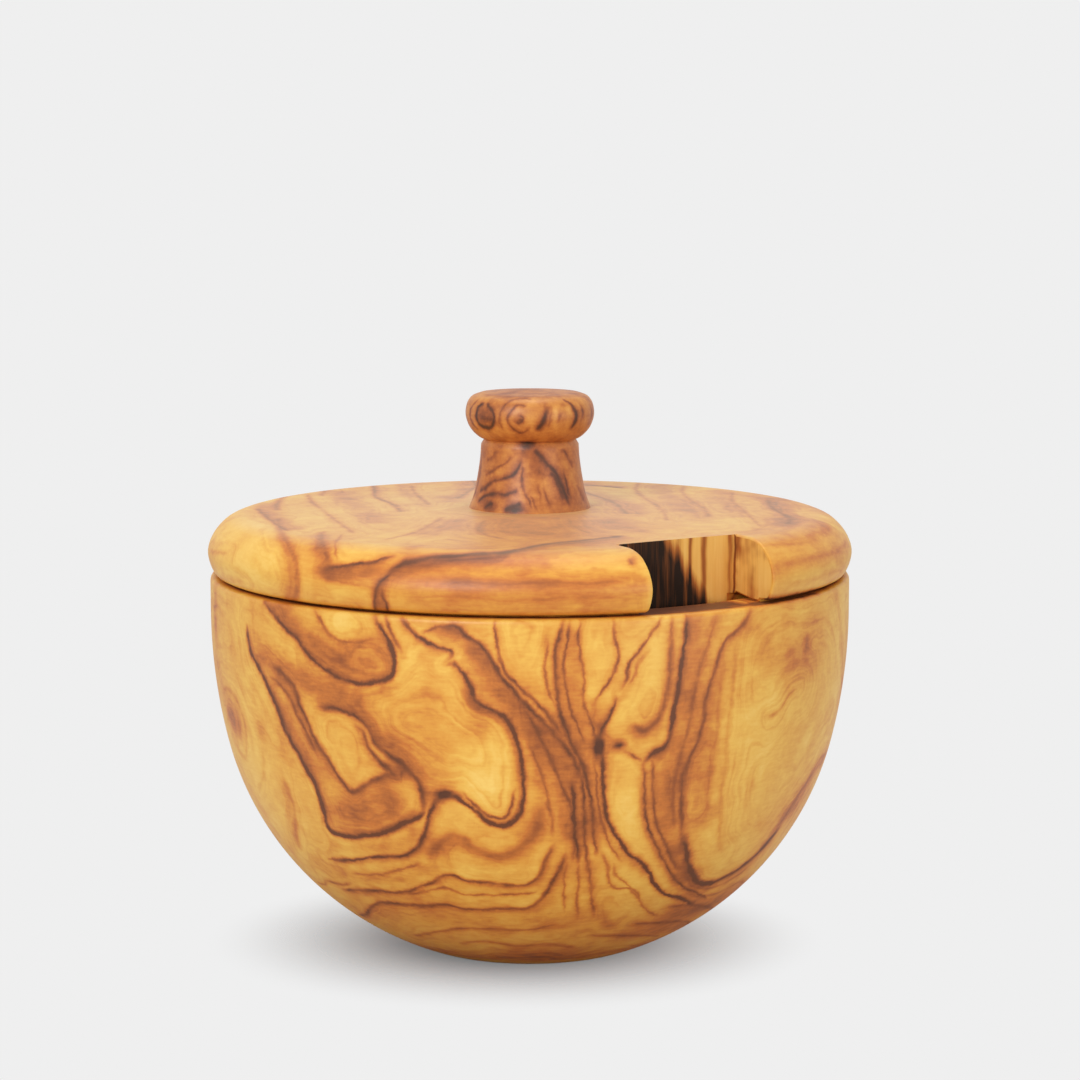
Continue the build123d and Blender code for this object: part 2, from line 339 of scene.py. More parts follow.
# Soft brown bands: how much browner, half width, and points along the middle.
BOWL_BANDS = [
    (0.2, 2.0, [(-50, 71), (-46, 67.5), (-43, 65), (-40, 63), (-36, 62), (-32, 61.8),
     (-28, 62.5), (-26.5, 65), (-27, 69)]),
    (0.24, 2.6, [(-60, 66), (-54, 62), (-50, 60), (-44, 58), (-38, 56), (-32, 54), (-28, 50),
     (-24, 46)]),
    (0.26, 1.5, [(-27, 49), (-24, 45), (-21.6, 42), (-20.6, 38)]),
    (0.22, 2.6, [(-42, 36), (-36, 33), (-30, 35), (-26, 38), (-24, 41)]),
    (0.16, 1.5, [(-53, 56), (-48, 48), (-45, 42), (-42, 37)]),
    (0.14, 2.0, [(-46, 60), (-41, 57), (-36, 57), (-29, 56), (-22, 58)]),
    (0.12, 3.6, [(-20, 62), (-18, 56), (-17, 50), (-16, 44)]),
    (0.34, 1.8, [(-11.5, 67), (-7, 63), (-4, 58), (-1, 53), (2, 48), (5, 43), (7, 37),
     (8, 30)]),
    (0.24, 2.0, [(2.6, 70), (4, 64), (5, 58), (6, 52), (8, 46), (10, 40), (11, 34), (12, 29)]),
    (0.16, 1.4, [(7, 70), (7.6, 64), (8.2, 58), (9.6, 52), (11, 47)]),
    (0.28, 1.5, [(10.4, 57), (12, 53), (12.5, 48), (12.6, 43)]),
    (0.28, 2.2, [(30.4, 71), (29.6, 62), (28.6, 54), (28, 47), (26.6, 42), (26.6, 37),
     (28, 32), (31, 27), (35, 22.6), (40, 19)]),
    (0.18, 2.2, [(35, 71), (32, 62), (31, 54), (30.4, 46), (30, 38)]),
    (0.2, 1.3, [(25, 70), (25, 62), (24.4, 56), (22, 52), (18.6, 50.4)]),
    (0.22, 1.3, [(22.4, 44), (22.8, 38), (24.6, 32), (28, 27.5), (32, 23.5), (37, 20),
     (44, 16.6)]),
    (0.22, 1.9, [(-22, 26), (-15, 30), (-8, 27.6), (-2, 28.6), (1, 33), (2.4, 38), (1.6, 45),
     (0.4, 50)]),
    (0.12, 1.2, [(-48, 20.4), (-35, 20.6), (-27, 22), (-20, 24.8), (-14, 25.4)]),
    (0.14, 1.0, [(-40, 26.6), (-30, 28.2), (-25, 29.8), (-21.6, 33)]),
    (0.12, 2.0, [(-62, 12), (-45, 12), (-30, 13), (-15, 13.6), (0, 13.4), (12, 12)]),
    (0.3, 3.2, [(38, 13), (52, 12), (64, 12.6), (78, 13.4)]),
    (0.24, 2.6, [(24, 8), (45, 8), (64, 6)]),
    (0.22, 2.0, [(58, 22), (66, 31), (72, 36), (82, 38.6)]),
    (0.14, 1.8, [(34.4, 56), (34.8, 45), (34.8, 36), (36.4, 30)]),
    (0.24, 1.1, [(13.2, 44), (13.2, 38), (14.4, 33), (17.4, 29), (21.4, 26), (26.6, 22.2)]),
    (0.16, 1.4, [(12, 27), (14, 21), (17, 15), (24, 10)]),
    (0.1, 2.2, [(44, 64), (50, 60), (58, 58), (66, 60)]),
    (0.12, 1.6, [(-70, 20), (-62, 24), (-57, 30), (-54, 38)]),
    (0.16, 2.0, [(-80, 58), (-74, 50), (-68, 45)]),
]

# Soft patches: distance round and height of the middle, reach each way, and how much
# browner (or paler, below 0) the wood is there.
BOWL_PATCHES = [
    (-7, 43, 4.5, 7.5, -0.24), (18, 38, 2.6, 7, -0.2), (-35, 69, 4.5, 2.6, -0.22),
    (-34, 46.5, 5, 5, -0.06), (48, 40, 13, 17, -0.1), (72, 52, 8, 14, -0.12),
    (-66, 40, 9, 12, -0.1), (20.5, 60, 2.4, 7, -0.08), (-14, 56.5, 4, 4.5, -0.1),
    (-60, 30, 6, 9, -0.08), (2, 65, 2.6, 5, -0.1), (12, 66, 2, 5, -0.12),
    (-8.5, 51.8, 2.2, 3, 0.24), (-25, 46, 3, 4.5, 0.18), (-31, 34.5, 9, 2.6, 0.16),
    (-24.5, 42.5, 1.6, 1.5, 0.3), (-15.6, 39.3, 1.8, 1.2, 0.75), (-50, 59, 6, 2.5, 0.14),
    (-10, 11, 45, 4, 0.02), (0, 3.0, 34, 3.4, 0.36), (2, 5, 9, 3.4, 0.24),
    (30, 52, 2.2, 17, 0.2), (27.2, 38, 2.4, 9, 0.2), (34, 46, 1.6, 15, 0.1),
    (55, 60, 7, 7, 0.14), (58.5, 62, 1.3, 1.9, 0.34), (53.5, 61, 1.3, 1.3, 0.2),
    (48.5, 50.5, 2, 0.8, 0.18), (66, 30, 8, 4, 0.16), (56, 12, 22, 5, 0.22),
    (-71, 46, 4, 3, 0.4), (-71, 46, 7.5, 5.5, 0.12), (-58, 46, 1.8, 2.4, 0.14),
    (-78, 64, 1.8, 6.5, 0.34), (-56, 60, 2.4, 1.3, 0.34), (10.5, 37, 2, 4.6, 0.26),
    (9.3, 31.5, 2.6, 3.6, 0.24), (6.5, 46, 3.6, 8, 0.14), (34, 25.5, 2.4, 3.6, 0.22),
    (12.4, 48.0, 1.0, 1.9, 0.6), (16, 48.3, 1.3, 0.9, 0.6), (-10, 59, 1.2, 1.8, 0.35),
    (23.4, 46.4, 1.6, 0.9, 0.3), (-1, 58, 2, 2, 0.16), (-20, 17, 12, 2, 0.1),
    (-40, 21, 10, 1.6, 0.08), (-7, 29.5, 6, 2, -0.1), (-6, 25, 7, 1.6, -0.08),
    (40, 21.5, 2.6, 1.6, 0.2), (-2.4, 14, 7, 2, -0.06),
]

# Painted shade on the rim: a wide dark band on its flat top where the notch shows it, a soft
# dark line all round under the lid's edge, and a fine one in the seam right of the notch. A
# height above the rim's goes on over it, towards the mouth. The lid's side of the last follows.
RIM_PAINTED_SHADE = [
    (1.0, 4.6, 0, [(15, 75.2), (28, 75.2), (38, 75.2), (46, 75.0)]),
    (0.7, 1.9, 0, [(-188, 72.5), (-94, 72.5), (0, 72.5), (94, 72.5), (188, 72.5)]),
    (0.9, 0.8, 0, [(42, 71.2), (50, 71.2), (58, 71.1), (66, 70.9)]),
]
LID_PAINTED_SHADE = [
    (1.0, 0.9, 0, [(40, 1.2), (45, 1.4), (50, 1.4), (56, 1.2), (62, 1.0), (67, 0.8)]),
]

# The lid's edge: distance round from the front, and distance up its outline from the seam.
LID_EDGE_VEINS = [
    (0.34, 0.8, 0.6, [(-49.6, -1), (-46.5, 1.5), (-45, 3), (-44, 5), (-44.2, 7), (-45.5, 9),
     (-48, 11), (-50.5, 12.5), (-53.5, 14), (-57, 15.5), (-60.5, 17), (-64, 18.3), (-68, 19.5),
     (-74, 21), (-82, 22.6)]),
    (0.24, 0.7, 0, [(-51.5, 0), (-48.4, 2), (-46.6, 4), (-46, 6), (-47, 8.5), (-50, 11.2),
     (-54, 13.4), (-59, 15.6)]),
    (0.36, 0.6, 1.0, [(-36.5, 9), (-38.5, 10.5), (-40, 12), (-42, 13.7), (-45, 16),
     (-48, 18.5), (-51, 20.5), (-55, 23.5)]),
    (0.35, 0.35, 0, [(-35.6, 9.6), (-38, 12.4), (-40.5, 15.4), (-42.5, 18), (-44.5, 20.3),
     (-48, 23.5)]),
    (0.8, 0.5, -1.2, [(-39, 8.6), (-37, 8.9), (-35, 9.3), (-32, 10), (-29, 10.6), (-27, 11.6),
     (-24.6, 12.8)]),
    (0.9, 0.75, -2.4, [(-26, 7.4), (-24.8, 9), (-22.6, 10.8), (-19, 12), (-16, 12.7),
     (-13, 13.3), (-10, 14), (-7, 14.3), (-4.5, 14.8), (-2.5, 16), (-1, 17.5), (1, 20.3),
     (5, 23.2), (11, 25.4), (18, 27.4), (26, 29.5)]),
    (0.55, 0.55, 0, [(-20, 11.2), (-16, 11.8), (-12, 12.2), (-8, 12.8), (-4, 13.2)]),
    (0.3, 0.45, 0, [(4, 20.6), (9, 23), (15, 24.6), (22, 26)]),
    (0.9, 0.45, -1.0, [(-28.6, -1), (-28, 2), (-27.5, 4), (-26.9, 6), (-26, 7.4), (-25, 8.4),
     (-23.4, 9.9)]),
    (0.8, 0.4, 0, [(-25.4, -1), (-25.5, 3), (-25.8, 5), (-25.8, 7)]),
    (0.35, 0.35, 0, [(-39.8, 7.6), (-37, 6.9), (-33, 6.5), (-30, 6.3), (-28, 6.4)]),
    (0.3, 0.4, 0, [(-84, 6.6), (-79, 7), (-75, 7.3), (-72, 7.7), (-68, 8.2)]),
    (0.18, 0.6, 0, [(-82, 1.4), (-70, 3), (-60, 3.8)]),
    (0.22, 0.4, -1.2, [(-16, 7.1), (-10, 7.6), (-4, 7.4), (3, 7.9), (10, 7.5), (18, 7.8)]),
    (0.16, 0.4, 0, [(-22, 4.6), (-12, 5.2), (-3, 4.6), (8, 5.2), (19, 4.7)]),
    (0.16, 0.4, 0, [(-20, 2), (-10, 2.6), (0, 1.8), (10, 2.4), (19, 1.9)]),
    (0.14, 0.5, 0, [(0, 16), (8, 17.4), (16, 18)]),
    (0.2, 0.5, 0, [(48, 12.5), (55, 12), (62, 11.4), (70, 12), (80, 12.6)]),
    (0.18, 0.5, 0, [(50, 8), (58, 8.4), (66, 8.2), (75, 8), (84, 8.6)]),
    (0.16, 0.5, 0, [(50, 4.6), (58, 4.2), (68, 4.6), (78, 3.8)]),
    (0.18, 0.6, 0, [(49, 17), (58, 16), (68, 17.4), (80, 18.6)]),
    (0.2, 0.6, 0, [(46, 22.4), (56, 20.6), (68, 22), (80, 25)]),
]

LID_EDGE_PATCHES = [
    (-47, 5, 2.4, 5, 0.12), (-42, 14, 3, 3, 0.18), (-37, 8.2, 3.4, 1.3, 0.34),
    (-31, 8.2, 5, 1.2, 0.16), (-32, 1.4, 3.6, 2, 0.24), (-26.8, 3, 1.3, 4.5, 0.34),
    (-12, 12.2, 9, 1.6, 0.26), (0, 6, 22, 5.4, 0.1), (-14, 7.6, 12, 1.2, 0.1),
    (6, 9.8, 14, 1.0, -0.1), (18.7, 11.6, 0.55, 0.8, 0.6), (18.7, 11.6, 1.6, 2, 0.14),
    (-64, 8, 14, 6, -0.12), (-68, 15, 12, 4, -0.1), (-55, 6, 6, 4, -0.14),
    (-30, 15, 6, 3, -0.1), (-16, 18, 8, 4, 0.02), (-34, 4, 3, 1.8, -0.08),
    (42, 6.5, 3, 3, 0.22), (50, 8, 5, 4, 0.1), (62, 5, 10, 3, -0.08), (-10, 19, 3, 3, 0.14),
    (-23.5, 15.5, 1.6, 3, 0.18),
]

LID_EDGE_BANDS = [
    (0.12, 1.0, [(-50, -1), (-46.6, 2), (-45, 5), (-46, 9), (-50, 12.4), (-58, 15.8),
     (-68, 19.4), (-80, 22)]),
    (0.14, 1.6, [(-38, 8), (-40, 11), (-43, 14.4), (-47, 18), (-52, 21.6)]),
    (0.22, 1.2, [(-39, 7.6), (-35, 8), (-30, 8.4), (-27, 9)]),
    (0.28, 1.6, [(-25, 8.4), (-22, 10), (-16, 11.8), (-8, 13), (-3, 15), (1, 19), (6, 22.6),
     (14, 25)]),
    (0.26, 1.0, [(-27, -1), (-26.8, 3), (-26.6, 6), (-25.4, 8)]),
    (0.12, 3.4, [(-24, 3), (-12, 4.6), (0, 4), (12, 4.6), (22, 4)]),
    (0.14, 0.7, [(-20, 7.6), (-8, 8), (4, 7.8), (18, 8)]),
    (0.16, 2.4, [(46, 14), (56, 13), (68, 14), (84, 15)]),
    (0.12, 1.2, [(46, 7.6), (56, 8), (70, 7.8), (86, 8)]),
    (0.14, 2.6, [(40, 22), (52, 19), (66, 20), (82, 22)]),
    (0.1, 2.4, [(-30, 20), (-22, 18), (-12, 17.4), (-4, 20)]),
]

# The lid's top seen from above: distances to the right of the knob and towards the back.
LID_TOP_VEINS = [
    (0.53, 0.55, 1.0, [(-52, 6), (-49, -8), (-46, -20), (-43, -30)]),
    (0.42, 0.6, 0, [(-44, 30), (-42, 14), (-39, 0), (-36, -14), (-33, -26), (-31, -34)]),
    (0.57, 0.6, 1.2, [(-32, 46), (-31, 34), (-30, 20), (-26, 6), (-24, -6)]),
    (0.46, 0.5, 0, [(-24, 44), (-23, 30), (-21, 16), (-19, 4)]),
    (0.38, 0.5, 0, [(-16, -14), (-18, -24), (-21, -34), (-26, -42)]),
    (0.57, 0.5, 0, [(-12, 56), (-11, 40), (-12.5, 26), (-14, 14)]),
    (0.49, 0.5, -1.2, [(10, 56), (9, 40), (11, 26), (15, 12), (17, 0), (18, -10)]),
    (0.42, 0.6, 0, [(22, 50), (21, 34), (22, 18), (24, 4), (25, -8), (25, -18)]),
    (0.38, 0.6, 0, [(31, 44), (30, 30), (31, 14), (33, 0), (33, -12)]),
    (0.46, 0.6, 0.8, [(46, 20), (46, 4), (48, -10), (47, -20)]),
    (0.34, 0.5, 0, [(40, 32), (39, 16), (40, 2), (41, -12), (42, -24)]),
    (0.38, 0.5, 0, [(-8, -18), (-9, -28), (-8, -36), (-4, -42)]),
    (0.34, 0.5, 0, [(7, -16), (8, -26), (11, -36)]),
]

LID_TOP_BANDS = [
    (0.24, 2.0, [(-52, 16), (-50, 2), (-46, -14), (-42, -28)]),
    (0.27, 2.6, [(-38, 36), (-36, 20), (-33, 6), (-30, -8), (-28, -22)]),
    (0.18, 1.6, [(-26, 46), (-25, 30), (-22, 14), (-19, 0)]),
    (0.24, 2.2, [(-14, 50), (-13, 34), (-14, 20), (-16, 8)]),
    (0.21, 2.4, [(12, 54), (11, 36), (14, 20), (18, 4), (20, -10)]),
    (0.24, 3.0, [(26, 48), (26, 32), (28, 14), (30, -4), (32, -18)]),
    (0.18, 2.0, [(38, 38), (37, 22), (38, 6), (40, -12)]),
    (0.3, 2.6, [(48, 24), (47, 8), (48, -8), (46, -24)]),
    (0.27, 2.4, [(-14, -16), (-16, -28), (-20, -38)]),
    (0.21, 2.4, [(14, -16), (17, -26), (22, -34)]),
]

# The two patches in front of the knob are partly the wood's own warm tone and partly a painted
# reflection and shade of the knob.
LID_TOP_PATCHES = [
    (2, -32, 15, 15, 0.48), (0, -17, 9, 5, 0.2), (-34, -10, 12, 16, -0.06),
    (18, 4, 2.6, 12, 0.1), (47, -12, 2, 9, 0.12), (-16, 16, 3, 5, 0.12), (34, 10, 9, 18, 0.06),
    (-44, 10, 5, 14, 0.06), (8, -48, 10, 5, 0.04), (-20, -44, 8, 4, -0.06),
]

# The knob: degrees round from the front, and height.
KNOB_VEINS = [
    (0.85, 0.42, 0, [(-46, 103.2), (-52, 102.6), (-55, 101), (-53, 99.4), (-47, 98.6),
     (-39, 98.8), (-34, 99.8), (-34, 101.4), (-39, 102.6), (-45, 103.2)]),
    (0.6, 0.36, 0, [(-58, 103.8), (-64, 102.6), (-67, 100.8), (-64, 99), (-57, 97.9)]),
    (0.9, 0.4, 0, [(-11.5, 101), (-12.5, 100.2), (-10, 99.7), (-6.5, 99.9), (-5.6, 100.8),
     (-8.5, 101.3), (-11.5, 101)]),
    (0.65, 0.36, 0, [(-2, 102.9), (-10, 103), (-17, 102), (-19.5, 100.2), (-16, 98.8),
     (-9, 98.1), (-2, 98.5), (1, 99.6)]),
    (0.45, 0.36, 0, [(3, 104), (-6, 104.2), (-18, 103.8), (-26, 102), (-28, 99.8), (-24, 98)]),
    (0.95, 0.55, 0.6, [(14, 103.6), (14.5, 102.4), (13, 101), (11, 99.8), (8, 98.8),
     (5, 98.2)]),
    (0.5, 0.4, 0, [(20, 103.4), (19, 101.6), (18, 99.6), (16, 98)]),
    (0.9, 0.5, 0, [(34, 104.1), (40, 103.2), (44, 102), (45.5, 100.6), (43, 99.2),
     (40, 98)]),
    (0.5, 0.4, 0, [(27, 103), (27.5, 101), (25, 99)]),
    (0.55, 0.4, 0, [(52, 103.4), (55, 101.4), (53, 99)]),
    (0.5, 0.4, 0, [(70, 103), (74, 101), (72, 98.6)]),
    (0.5, 0.4, 0, [(-80, 103), (-84, 101), (-80, 98.6)]),
    (0.8, 0.5, 0.6, [(-66, 86.2), (-55, 87.2), (-42, 88.6), (-30, 89), (-19, 89.8),
     (-12, 91.6), (-9.5, 93.4)]),
    (0.75, 0.45, 0, [(-64, 84.4), (-50, 86), (-36, 86.3), (-24, 86.4), (-11, 87.3)]),
    (0.5, 0.4, 0, [(-58, 89.2), (-48, 90.2), (-36, 91.2), (-26, 92.4), (-22, 94)]),
    (0.55, 0.4, 0, [(-60, 92), (-48, 93), (-40, 94.4)]),
    (0.9, 0.6, 0, [(-26, 83.2), (-19, 83.9), (-12, 84.4), (-7, 85.4)]),
    (0.8, 0.5, 0, [(-50, 83), (-45, 84.1), (-38, 84.6)]),
    (0.7, 0.38, 0, [(-8.5, 93), (-8.6, 90), (-7, 87.6), (-3, 86), (0, 84.8), (3, 83.2)]),
    (0.55, 0.38, 0, [(-1, 86.4), (2.5, 85.6), (6, 84.2), (9, 83)]),
    (0.55, 0.38, 0, [(8, 88.6), (10.5, 86.4), (11, 84.4)]),
    (0.85, 0.5, -0.8, [(4, 94.8), (12, 93.6), (20, 92), (28, 90.8), (33, 89.2), (37, 87.4),
     (41, 85.8), (43, 83.6)]),
    (0.6, 0.42, 0, [(22, 90.6), (29, 89.4), (33, 87.4), (36, 85)]),
    (0.7, 0.42, 0, [(40, 91), (42, 89), (44, 87), (47, 85)]),
    (0.55, 0.42, 0, [(38, 94.6), (46, 93.6), (53, 92), (58, 90)]),
    (0.5, 0.42, 0, [(14, 88.4), (17, 86), (22, 83.8)]),
    (0.5, 0.42, 0, [(60, 88), (66, 86), (72, 84)]),
    (0.5, 0.42, 0, [(-80, 94), (-74, 91), (-76, 87), (-84, 84)]),
]

# The two patches at -4 degrees, 95.6 and 93.8 high, darken the stem just under the head.
KNOB_PATCHES = [
    (-8.8, 100.4, 3.2, 0.6, 0.6), (-44, 100.6, 7, 1.5, 0.42), (-36, 100.4, 3, 0.9, 0.3),
    (24, 101.8, 7, 1.6, -0.3), (38, 101.8, 4, 1.2, -0.2), (-22, 100.6, 4, 1.5, -0.14),
    (2, 100.8, 5, 1.5, -0.08), (-4, 95.6, 9, 1.2, 0.7), (-4, 93.8, 5, 0.9, 0.35),
    (-15, 83.6, 9, 0.8, 0.5), (-46, 84.4, 9, 1.2, 0.35), (-35, 91, 14, 1.6, -0.16),
    (12, 91, 8, 2.2, 0.1), (22, 87, 7, 2, -0.18), (43, 93, 8, 1.5, -0.06), (36, 88, 5, 2, 0.2),
    (60, 92, 8, 3, 0.1), (-66, 92, 8, 3, 0.06),
]


def straight(start, end, step):
    """Points along a straight run, without its first."""
    count = max(1, round(hypot(end[0] - start[0], end[1] - start[1]) / step))
    parts = [i / count for i in range(1, count + 1)]
    return [(start[0] + (end[0] - start[0]) * f, start[1] + (end[1] - start[1]) * f) for f in parts]


def tangent_arc(start, end, tangent, step):
    """Points along the arc that leaves start along tangent, without its first."""
    chord = (end[0] - start[0], end[1] - start[1])
    side = (-tangent[1], tangent[0])
    along = chord[0] * side[0] + chord[1] * side[1]
    radius = (chord[0] ** 2 + chord[1] ** 2) / (2 * along)
    centre = (start[0] + side[0] * radius, start[1] + side[1] * radius)
    first = atan2(start[1] - centre[1], start[0] - centre[0])
    turn = 2 * atan2(along, chord[0] * tangent[0] + chord[1] * tangent[1])
    count = max(2, round(abs(radius * turn) / step))
    angles = [first + turn * i / count for i in range(1, count + 1)]
    return [(centre[0] + abs(radius) * cos(a), centre[1] + abs(radius) * sin(a)) for a in angles]


def eased(before, corner, after, reach):
    """A rounded corner, which starts and ends the given reach from the sharp one."""
    def toward(point):
        length = hypot(point[0] - corner[0], point[1] - corner[1])
        return [corner[k] + (point[k] - corner[k]) * reach / length for k in (0, 1)]
    first, last = toward(before), toward(after)
    return [
        tuple(first[k] * (1 - f) ** 2 + 2 * corner[k] * f * (1 - f) + last[k] * f * f for k in (0, 1))
        for f in (0, 0.25, 0.5, 0.75, 1)
    ]


def smooth(points, step):
    """A smooth line through given points, with a point about every step."""
    p = np.array([points[0], *points, points[-1]], float)
    p[0] = 2 * p[1] - p[2]
    p[-1] = 2 * p[-2] - p[-3]
    run = [p[1]]
    for a, b, c, d in zip(p, p[1:], p[2:], p[3:]):
        count = max(1, round(float(np.hypot(*(c - b))) / step))
        for f in (np.arange(count) + 1) / count:
            curve = 2 * b + (c - a) * f + (2 * a - 5 * b + 4 * c - d) * f * f
            run.append((curve + (3 * b - a - 3 * c + d) * f ** 3) / 2)
    return np.array(run)


def ease(f):
    """A smooth step from 0 to 1."""
    f = min(max(f, 0), 1)
    return f * f * (3 - 2 * f)


class Outline:
    """The turned outline of a piece: radius, height and the distance run along it."""

    def __init__(self, points):
        self.r, self.z = np.array(points, float).T
        self.s = np.concatenate([[0], np.cumsum(np.hypot(np.diff(self.r), np.diff(self.z)))])

    def run_at(self, r, z):
        """The distance along the outline of the points nearest to each radius and height."""
        best = np.full(len(r), np.inf)
        run = np.zeros(len(r))
        for k in range(len(self.r) - 1):
            dr, dz = self.r[k + 1] - self.r[k], self.z[k + 1] - self.z[k]
            length = dr * dr + dz * dz
            f = np.clip(((r - self.r[k]) * dr + (z - self.z[k]) * dz) / length, 0, 1)
            gap = (r - self.r[k] - f * dr) ** 2 + (z - self.z[k] - f * dz) ** 2
            near = gap < best
            best[near] = gap[near]
            run[near] = (self.s[k] + f * sqrt(length))[near]
        return run


def bowl_outline():
    """From the middle of the foot up the outside, over the rim and down into the hollow."""
    band = (BOWL_RADIUS, RIM_Z - RIM_BAND)
    turned_in = (band[0] - SIDE_ROUND * (1 - cos(SIDE_TURN)), band[1] - SIDE_ROUND * sin(SIDE_TURN))
    side = tangent_arc(band, turned_in, (0, -1), SIDE_STEP)
    lower_start = (-sin(SIDE_TURN), -cos(SIDE_TURN))
    lower = tangent_arc(side[-1], (FOOT_RADIUS, 0), lower_start, SIDE_STEP)
    wall = [band, *side, *lower[:-2]][::-1]
    rim_out, rim_in = (BOWL_RADIUS, RIM_Z), (MOUTH_RADIUS, RIM_Z)
    mouth_end = (MOUTH_RADIUS, HOLLOW_Z)
    foot = eased((0, 0), (FOOT_RADIUS, 0), wall[0], FOOT_ROUND)
    outer = eased(wall[-1], rim_out, rim_in, RIM_OUTER_ROUND)
    inner = eased(rim_out, rim_in, mouth_end, RIM_INNER_ROUND)
    points = [(0, 0), (FOOT_RING, 0), *foot, *wall]
    points += straight(wall[-1], outer[0], SIDE_STEP) + outer[1:]
    points += straight(outer[-1], inner[0], RIM_STEP) + inner[1:]
    points += straight(inner[-1], mouth_end, MOUTH_STEP)
    points += tangent_arc(mouth_end, (0, FLOOR_THICKNESS), (0, -1), HOLLOW_STEP)
    points[-1] = (0, FLOOR_THICKNESS)
    return Outline(points)


def on_top(radius):
    """A point on the lid's top, which falls a little from the knob's seat to the shoulder."""
    fall = (radius - KNOB_SEAT) / (CROWN[0] - KNOB_SEAT) * (LID_TOP - CROWN[1])
    return (radius, LID_TOP - fall)


def lid_outline():
    """From the middle of the spigot's face, out over the seat, up the edge and over the top."""
    face = (SPIGOT_RADIUS, SPIGOT_BOTTOM)
    spigot = eased((0, SPIGOT_BOTTOM), face, (SPIGOT_RADIUS, RIM_Z), SPIGOT_ROUND)
    points = [(radius, SPIGOT_BOTTOM) for radius in (*SPIGOT_RINGS, *NOTCH_RINGS[:2])]
    points += spigot + straight(spigot[-1], (SPIGOT_RADIUS, UNDERCUT_Z), MOUTH_STEP)
    rise = (NOTCH_CORNER - SPIGOT_RADIUS) / (SEAT_INNER - SPIGOT_RADIUS) * (UNDERCUT_Z - RIM_Z)
    corner = (NOTCH_CORNER, UNDERCUT_Z - rise)
    points += [corner] + straight(corner, (SEAT_INNER, RIM_Z), RIM_STEP)
    points += straight((SEAT_INNER, RIM_Z), (SEAT_OUTER, RIM_Z), SIDE_STEP)
    edge = smooth([(r, RIM_Z + z) for r, z in LID_EDGE], EDGE_STEP)[1:]
    points += [(min(r, LID_RADIUS), z) for r, z in edge]
    points += straight(CROWN, on_top(NOTCH_CORNER), SIDE_STEP)[:-1] + [on_top(NOTCH_CORNER)]
    points += [on_top(radius) for radius in NOTCH_RINGS[::-1]]
    points += straight(on_top(NOTCH_BACK), (KNOB_SEAT, LID_TOP), TOP_STEP)
    points += [(TENON_HOLE, LID_TOP), (TENON_HOLE, TENON_HOLE_Z), (0, TENON_HOLE_Z)]
    return Outline(points)


def knob_outline():
    """From the tenon's end up to the shoulder, the stem, the neck and the head."""
    points = [(0, TENON_Z), (TENON, TENON_Z), (TENON, LID_TOP)]
    points += straight((TENON, LID_TOP), (STEM[0][0], LID_TOP), SHOULDER_STEP)[:-1]
    points += [(r, LID_TOP + z) for r, z in smooth(STEM, STEM_STEP)]
    points += [(r, LID_TOP + z) for r, z in smooth(HEAD, HEAD_STEP)]
    points += straight(points[-1], (0, KNOB_TOP), RIM_STEP)
    return Outline(points)


def notch_opening(radius):
    """Half the angle that the notch takes from a ring of the lid."""
    if radius <= NOTCH_BACK:
        return 0
    return acos(NOTCH_BACK / radius) if radius <= NOTCH_CORNER else asin(NOTCH_HALF / radius)


def turned(name, outline, columns, opening=None):
    """A turned piece. opening(r) is half the angle that a notch takes from the ring at r."""
    vertices, faces, rings = [], [], []
    for r, z in zip(outline.r, outline.z):
        start = len(vertices)
        if r < NEARLY:
            vertices.append((0, 0, z * MM))
            rings.append([start] * (columns + 1))
            continue
        half = opening(r) if opening else 0
        for k in range(columns + 1 if half else columns):
            turn = 2 * pi * k / columns
            left, right = ease(1 - turn / NOTCH_SPREAD), ease(1 - (2 * pi - turn) / NOTCH_SPREAD)
            a = turn + half * (left - right) + (NOTCH_AZIMUTH if opening else 0)
            vertices.append((r * MM * sin(a), -r * MM * cos(a), z * MM))
        rings.append([start + k for k in range(columns)] + [start + (columns if half else 0)])
    for low, high in zip(rings, rings[1:]):
        for k in range(columns):
            face = list(dict.fromkeys((low[k], low[k + 1], high[k + 1], high[k])))
            if len(face) > 2:
                faces.append(face)
    mesh = bpy.data.meshes.new(name)
    mesh.from_pydata(vertices, [], faces)
    piece = bpy.data.objects.new(name, mesh)
    bpy.context.scene.collection.objects.link(piece)
    if opening:
        close_notch(mesh, rings, outline)
    finish_mesh(mesh)
    return piece


def close_notch(mesh, rings, outline):
    """Adds the notch's two side walls and its back wall, and eases the edges of the cut."""
    outer = np.flatnonzero(outline.r >= NOTCH_CORNER - 1e-6)
    low, high = outer[0], outer[-1]
    first = max(k for k in range(low) if outline.r[k] <= NOTCH_BACK)
    last = min(k for k in range(high, len(outline.r)) if outline.r[k] <= NOTCH_BACK)
    left, right = [ring[0] for ring in rings], [ring[-1] for ring in rings]
    back = left[first:low + 1] + left[high:last + 1]
    back += right[high:last][::-1] + right[first + 1:low + 1][::-1]
    work = bmesh.new()
    work.from_mesh(mesh)
    work.verts.ensure_lookup_table()
    walls = []
    for loop in (left[low:high + 1], right[low:high + 1], back):
        wall = work.faces.new([work.verts[k] for k in loop])
        wall.material_index = 1
        walls.append(wall)
    bmesh.ops.recalc_face_normals(work, faces=work.faces)
    corner = set(walls[2].edges)
    cut = [edge for wall in walls[:2] for edge in wall.edges if edge not in corner]
    bmesh.ops.bevel(work, geom=cut, offset=NOTCH_EASE * MM, segments=2, profile=0.5,
                    affect="EDGES", clamp_overlap=True)
    work.to_mesh(mesh)
    work.free()


def finish_mesh(mesh):
    """Faces turned outwards and shaded smooth, apart from the sharp edges."""
    work = bmesh.new()
    work.from_mesh(mesh)
    bmesh.ops.recalc_face_normals(work, faces=work.faces)
    work.to_mesh(mesh)
    work.free()
    mesh.polygons.foreach_set("use_smooth", [True] * len(mesh.polygons))
    mesh.set_sharp_from_angle(angle=SHARP_EDGE)


